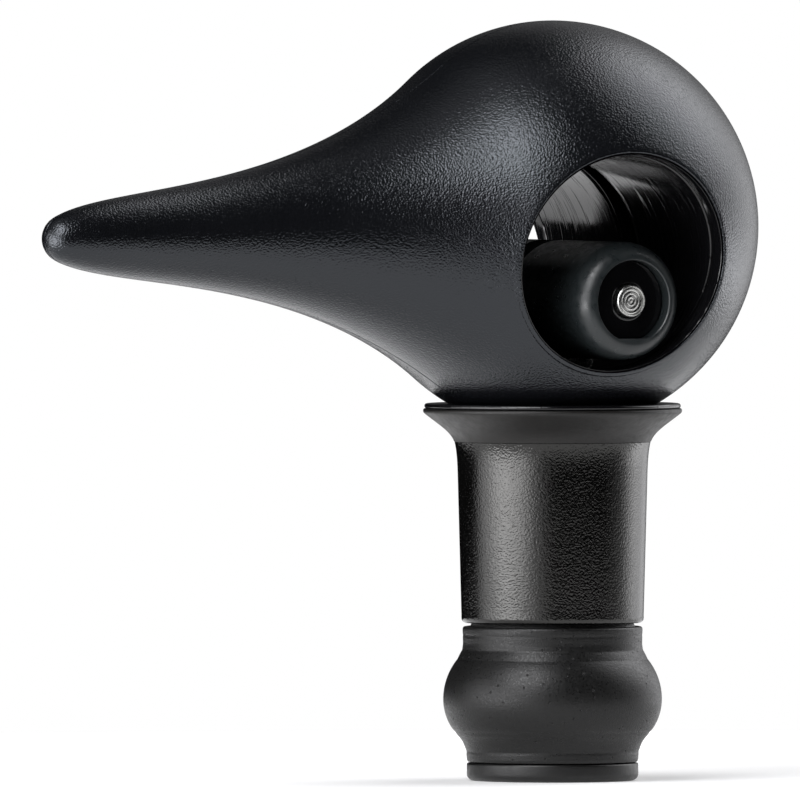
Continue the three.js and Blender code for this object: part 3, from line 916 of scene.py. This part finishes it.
def blade_skin(rod_top):
    """Flat blade with rounded sides and top, and the pin's hole through it."""
    half_width, half_blade, chamfer = 3.0, 0.9, 0.12
    segments = 96
    angles = np.arange(segments) * 2 * math.pi / segments

    def outline(shrink):
        limit = half_width - shrink
        across = limit * np.cos(angles)
        up = BARREL_HEIGHT + limit * np.sin(angles)
        below = np.sin(angles) < 0
        across = np.where(below, np.clip(across * 1.6, -limit, limit), across)
        foot = rod_top - 1 + shrink
        up = np.where(below, BARREL_HEIGHT + np.sin(angles) * (BARREL_HEIGHT - foot), up)
        return across, up

    def hole(radius):
        return radius * np.cos(angles), BARREL_HEIGHT + radius * np.sin(angles)

    bore = PIN_RADIUS + 0.1
    sections = [
        (hole(bore), half_blade - chamfer),
        (hole(bore + chamfer), half_blade),
        (outline(chamfer), half_blade),
        (outline(0), half_blade - chamfer),
        (outline(0), chamfer - half_blade),
        (outline(chamfer), -half_blade),
        (hole(bore + chamfer), -half_blade),
        (hole(bore), chamfer - half_blade),
    ]
    skin = Skin()
    rows = []
    for (across, up), out in sections:
        rows.append(skin.row(np.stack([across, np.full(segments, out), up], 1)))
    for one, other in zip(rows, rows[1:] + rows[:1]):
        skin.join(one, other)
    return skin


def rod_profile(rod_top):
    """Round rod with a threaded spigot at its foot."""
    radius, spigot, groove, pitch = 2.5, 1.8, 0.2, 0.5
    foot = low_of("pull_rod")[2]
    thread_top = high_of("pressure_disc")[2] + 0.3
    profile = [(0, foot), (spigot - groove, foot)]
    for height in np.arange(foot + 0.3, thread_top - 0.3, pitch):
        profile += [(spigot, height), (spigot - groove, height + pitch / 2)]
    profile += [(spigot, thread_top), (radius, thread_top)]
    return profile + [(radius, rod_top - 0.3), (radius - 0.3, rod_top), (0, rod_top)]


def make_rod(look):
    """The blade and the rod below it, as one piece."""
    rod_top = 23.6
    skin = blade_skin(rod_top)
    rod = turned(rod_profile(rod_top), segments=96, closed=False)
    shift = len(skin.points)
    skin.points += rod.points
    skin.faces += [tuple(number + shift for number in face) for face in rod.faces]
    skin.build("blade_and_rod", "plunger", "steel", look, replaces=["pull_rod"])


def finish_hidden(plain_steel):
    """Looks for the pieces inside that are shown as they are in the frame."""
    bush, seal = inner_plastic(), bpy.data.materials["expander_rubber"]
    looks = {"guide_bush": (bush, "inner_plastic"), "rod_seal": (seal, "expander_rubber")}
    for name in ("dowel_crown", "dowel_throat", "dowel_beak"):
        looks[name] = (plain_steel, "steel")
    for name, (look, slot) in looks.items():
        node = frame["nodes"][name]
        node.data.materials.clear()
        node.data.materials.append(look)


# ------------------------------------------------------------------ studio

# The camera, in metres. It looks from far away through a long lens.
AZIMUTH = math.radians(-30.2)
ELEVATION = math.radians(1.2)
VIEW_WIDTH = 0.068
DISTANCE = 3.2
# How far the ball's centre is right of and above the middle of the view.
BALL_RIGHT = 0.01297
BALL_ABOVE = 0.01477

# The view's own directions; BACK points from the stopper to the camera.
RIGHT = Vector((math.cos(AZIMUTH), math.sin(AZIMUTH), 0))
LEVEL = math.cos(ELEVATION)
BACK = Vector((math.sin(AZIMUTH) * LEVEL, -math.cos(AZIMUTH) * LEVEL, math.sin(ELEVATION)))
ABOVE = BACK.cross(RIGHT)


def make_camera():
    """The photo's view, framed from the ball's centre."""
    camera = bpy.data.cameras.new("camera")
    camera.sensor_width = 36
    camera.lens = camera.sensor_width * DISTANCE / VIEW_WIDTH
    camera.clip_start = 0.1
    camera.clip_end = 20
    holder = bpy.data.objects.new("camera", camera)
    ball = Vector((0, 0, BALL_CENTRE * MM))
    target = ball - RIGHT * BALL_RIGHT - ABOVE * BALL_ABOVE
    holder.location = target + BACK * DISTANCE
    holder.rotation_euler = (-BACK).to_track_quat("-Z", "Y").to_euler()
    bpy.context.scene.collection.objects.link(holder)
    bpy.context.scene.camera = holder


# Soft round lights at a great distance: (right, above, towards the camera), strength and reach in degrees.
LIGHTS = [
    ((-0.78, -0.30, 0.55), 6.2, 36),
    ((-0.43, 0.65, 0.62), 7.6, 27),
    ((-0.57, 0.15, 0.80), 1.5, 36),
    ((-0.98, 0.00, 0.20), 2.9, 32),
    ((0.62, 0.68, -0.40), 3.2, 36),
    ((0.78, -0.50, -0.38), 3.6, 36),
    ((0.71, -0.10, -0.70), 1.5, 36),
    ((0.95, 0.20, -0.20), 0.4, 36),
    ((-0.50, 0.85, 0.10), 0.4, 36),
    ((0.40, 0.40, -0.85), 0.3, 36),
]
LIGHT_CORE = math.radians(4)  # each light has its full strength this near its middle
AMBIENT = 0.005


def make_world():
    """White to the camera, and soft lights and a dark front for everything else."""
    world = bpy.data.worlds.new("studio")
    world.use_nodes = True
    bpy.context.scene.world = world
    tree = world.node_tree
    tree.nodes.clear()
    heading = tree.nodes.new("ShaderNodeTexCoord").outputs["Generated"]
    total = None
    for (right, above, towards), strength, reach in LIGHTS:
        direction = (RIGHT * right + ABOVE * above + BACK * towards).normalized()
        dot = tree.nodes.new("ShaderNodeVectorMath")
        dot.operation = "DOT_PRODUCT"
        tree.links.new(heading, dot.inputs[0])
        dot.inputs[1].default_value = direction
        fade = tree.nodes.new("ShaderNodeMapRange")
        fade.interpolation_type = "SMOOTHSTEP"
        tree.links.new(dot.outputs["Value"], fade.inputs["Value"])
        fade.inputs["From Min"].default_value = math.cos(math.radians(reach))
        fade.inputs["From Max"].default_value = math.cos(LIGHT_CORE)
        fade.inputs["To Max"].default_value = strength
        add = tree.nodes.new("ShaderNodeMath")
        tree.links.new(fade.outputs["Result"], add.inputs[0])
        if total is None:
            add.inputs[1].default_value = AMBIENT
        else:
            tree.links.new(total, add.inputs[1])
        total = add.outputs["Value"]
    lights = tree.nodes.new("ShaderNodeBackground")
    lights.inputs["Color"].default_value = (0.98, 0.98, 1.0, 1)
    tree.links.new(total, lights.inputs["Strength"])
    white = tree.nodes.new("ShaderNodeBackground")
    white.inputs["Color"].default_value = (1, 1, 1, 1)
    path = tree.nodes.new("ShaderNodeLightPath")
    mix = tree.nodes.new("ShaderNodeMixShader")
    output = tree.nodes.new("ShaderNodeOutputWorld")
    tree.links.new(path.outputs["Is Camera Ray"], mix.inputs["Fac"])
    tree.links.new(lights.outputs["Background"], mix.inputs[1])
    tree.links.new(white.outputs["Background"], mix.inputs[2])
    tree.links.new(mix.outputs["Shader"], output.inputs["Surface"])


FLOOR_RADIUS = 140.0
FLOOR_HEIGHT = -0.02
GLOW_START = 12 * MM  # the floor's glow grows from this distance from the stem's axis
GLOW_END = 30 * MM  # to this one
# Glow near the stem and far from it: the weaker glow near the stem is a painted shadow of the stopper on the
# floor.
SHADOW_GLOW_NEAR, GLOW_FAR = 0.25, 0.45


def make_floor():
    """A pale round floor that glows a little, so that it stays white round the stopper; it glows less near
    the stem, a painted shadow of the stopper.
    """
    rings = [(FLOOR_RADIUS * share**2, FLOOR_HEIGHT) for share in np.linspace(1, 0, 12)]
    skin = turned(rings, segments=96, closed=False)
    mesh = bpy.data.meshes.new("floor")
    mesh.from_pydata([Vector(point) * MM for point in skin.points], [], skin.faces)
    look = Look("floor", (0.72, 0.72, 0.72), 0.8)
    look.colour(look.noise(40.0), (0.71, 0.71, 0.71), (0.73, 0.73, 0.73))
    look.shader.inputs["Emission Color"].default_value = (1, 1, 1, 1)
    away = look.node("ShaderNodeVectorMath", operation="LENGTH")
    look.tree.links.new(look.place, away.inputs[0])
    # Emission that is dimmer near the stem: painted shadow round the stopper's foot.
    glow = look.between(away.outputs["Value"], GLOW_START, GLOW_END, SHADOW_GLOW_NEAR, GLOW_FAR)
    look.tree.links.new(glow, look.shader.inputs["Emission Strength"])
    mesh.materials.append(look.material)
    floor = bpy.data.objects.new("floor", mesh)
    bpy.context.scene.collection.objects.link(floor)


# ------------------------------------------------------------------ everything

make_shells()
gloss = gloss_plastic()
make_liners(gloss)
make_barrel(gloss)
make_cup(gloss)
make_sleeve()
make_collar()
make_rubber()
make_disc()
plain_steel = steel("plain_steel")
make_rod(plain_steel)
finish_hidden(plain_steel)

make_camera()
make_world()
make_floor()
bpy.context.scene.view_settings.view_transform = "Standard"
